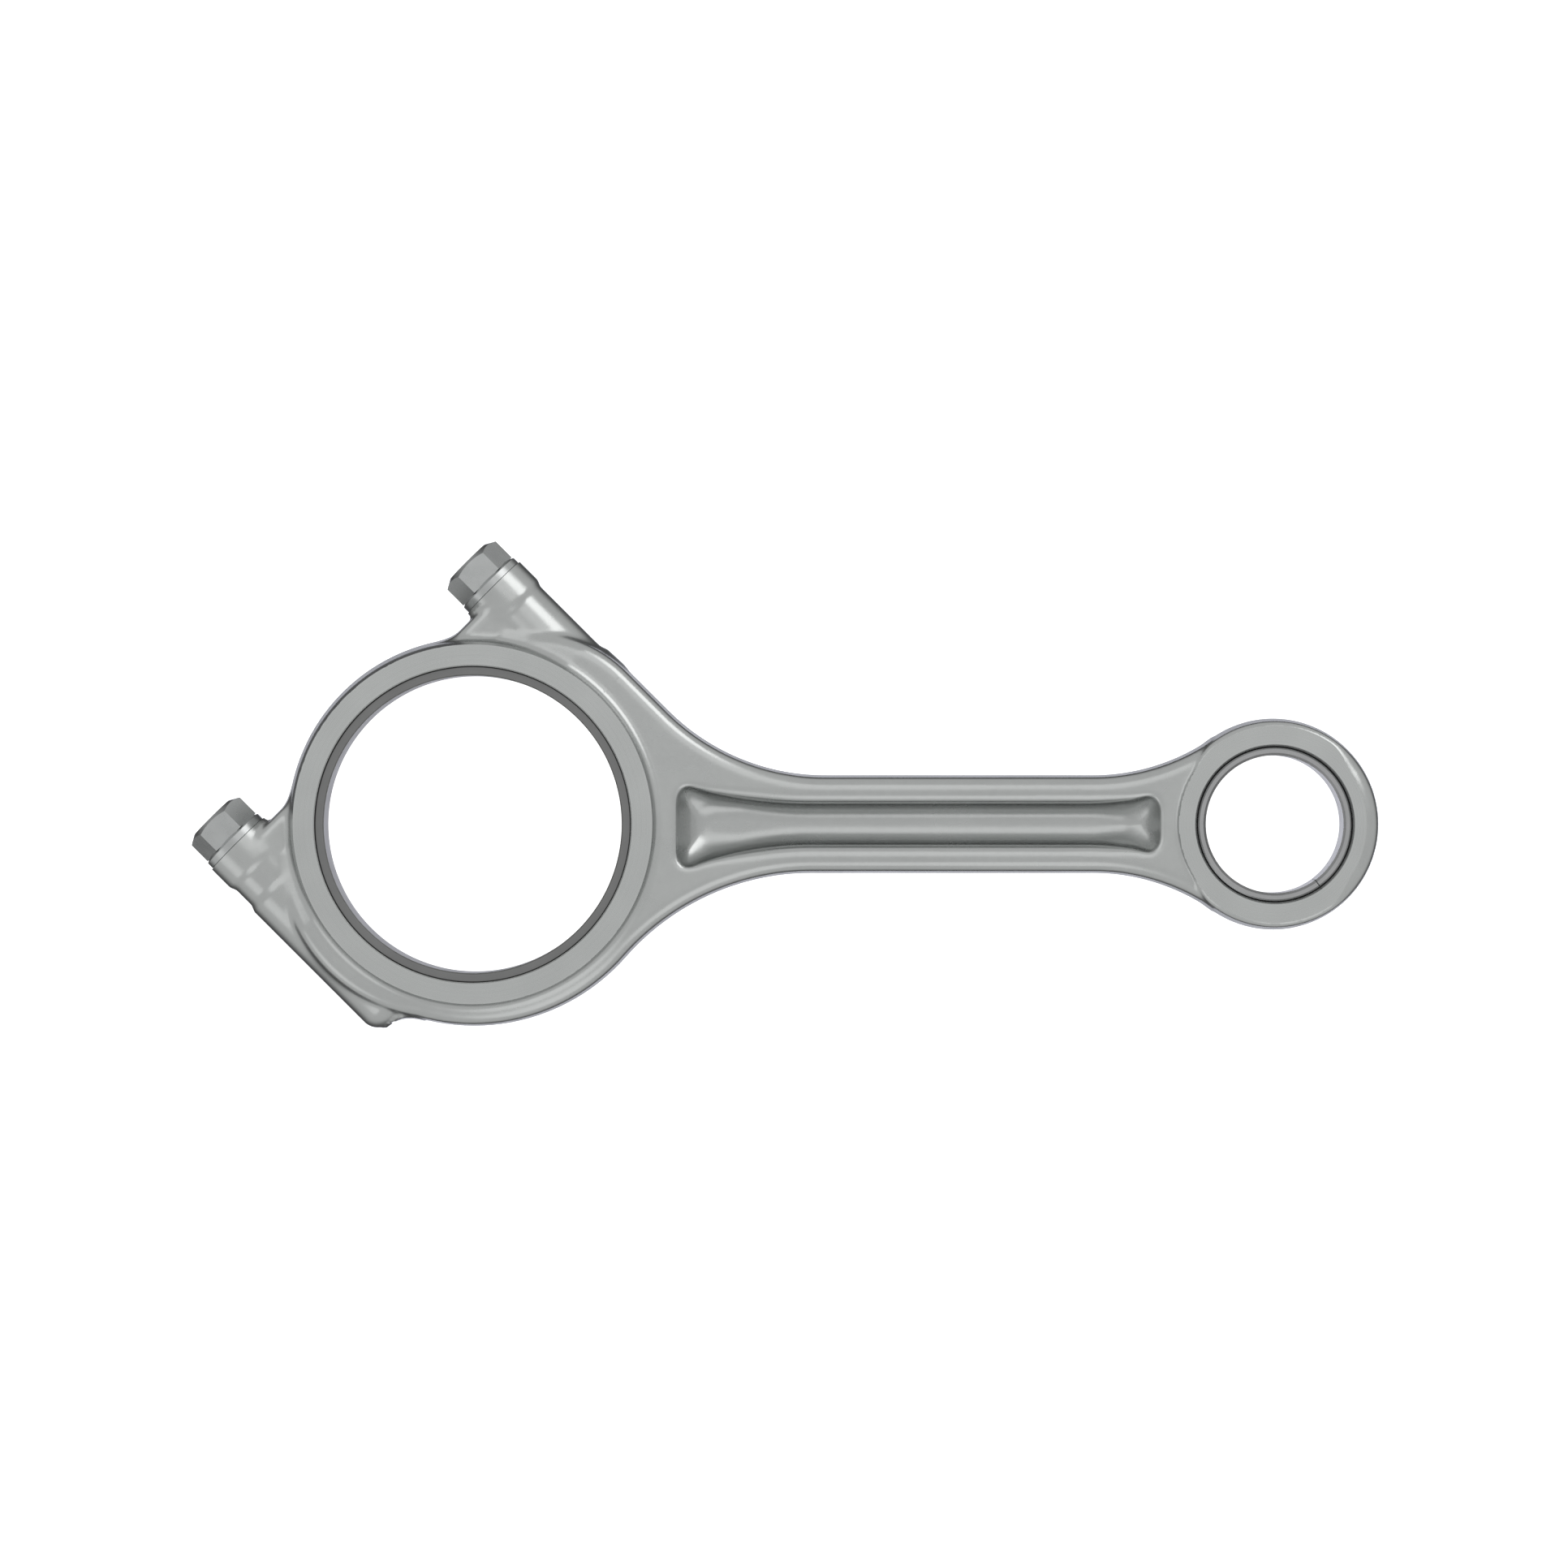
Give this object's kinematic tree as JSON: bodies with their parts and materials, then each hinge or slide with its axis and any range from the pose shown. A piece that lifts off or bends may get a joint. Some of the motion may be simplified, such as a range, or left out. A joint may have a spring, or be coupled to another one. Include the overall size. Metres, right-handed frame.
{
  "type": "connecting rod",
  "caption": "Connecting rod for a heavy engine: I-section shank, obliquely split big end with a bolted cap, bearing shells and a rolled small-end bush.",
  "frame": {"origin": "centre of the big-end bore, halfway through the rod's width", "axes": "+Z along the bores, +X from the big end to the small end, +Y towards the upper cap bolt; the rod lies flat"},
  "size_m": [0.3804, 0.1563, 0.038],
  "materials": {
    "forged_steel": "shot-blasted forging, dull grey",
    "bolt_steel": "satin phosphated steel",
    "shell_metal": "dull steel back and lining",
    "bush_metal": "smooth bored lining on a steel back"
  },
  "bodies": {
    "rod": {"rod_body": "forged_steel", "bearing_shell_rod": "shell_metal", "small_end_bush": "bush_metal"},
    "cap": {"big_end_cap": "forged_steel", "bearing_shell_cap": "shell_metal"},
    "bolt_upper": {"cap_bolt_upper": "bolt_steel"},
    "bolt_lower": {"cap_bolt_lower": "bolt_steel"}
  },
  "joints": [
    {"name": "cap_lift", "type": "slide", "parent": "rod", "child": "cap", "axis": [-0.7071, 0.7071, 0], "range_m": [0, 0.06]},
    {"name": "bolt_upper_out", "type": "slide", "parent": "cap", "child": "bolt_upper", "axis": [-0.7071, 0.7071, 0], "range_m": [0, 0.075]},
    {"name": "bolt_lower_out", "type": "slide", "parent": "cap", "child": "bolt_lower", "axis": [-0.7071, 0.7071, 0], "range_m": [0, 0.075]}
  ]
}
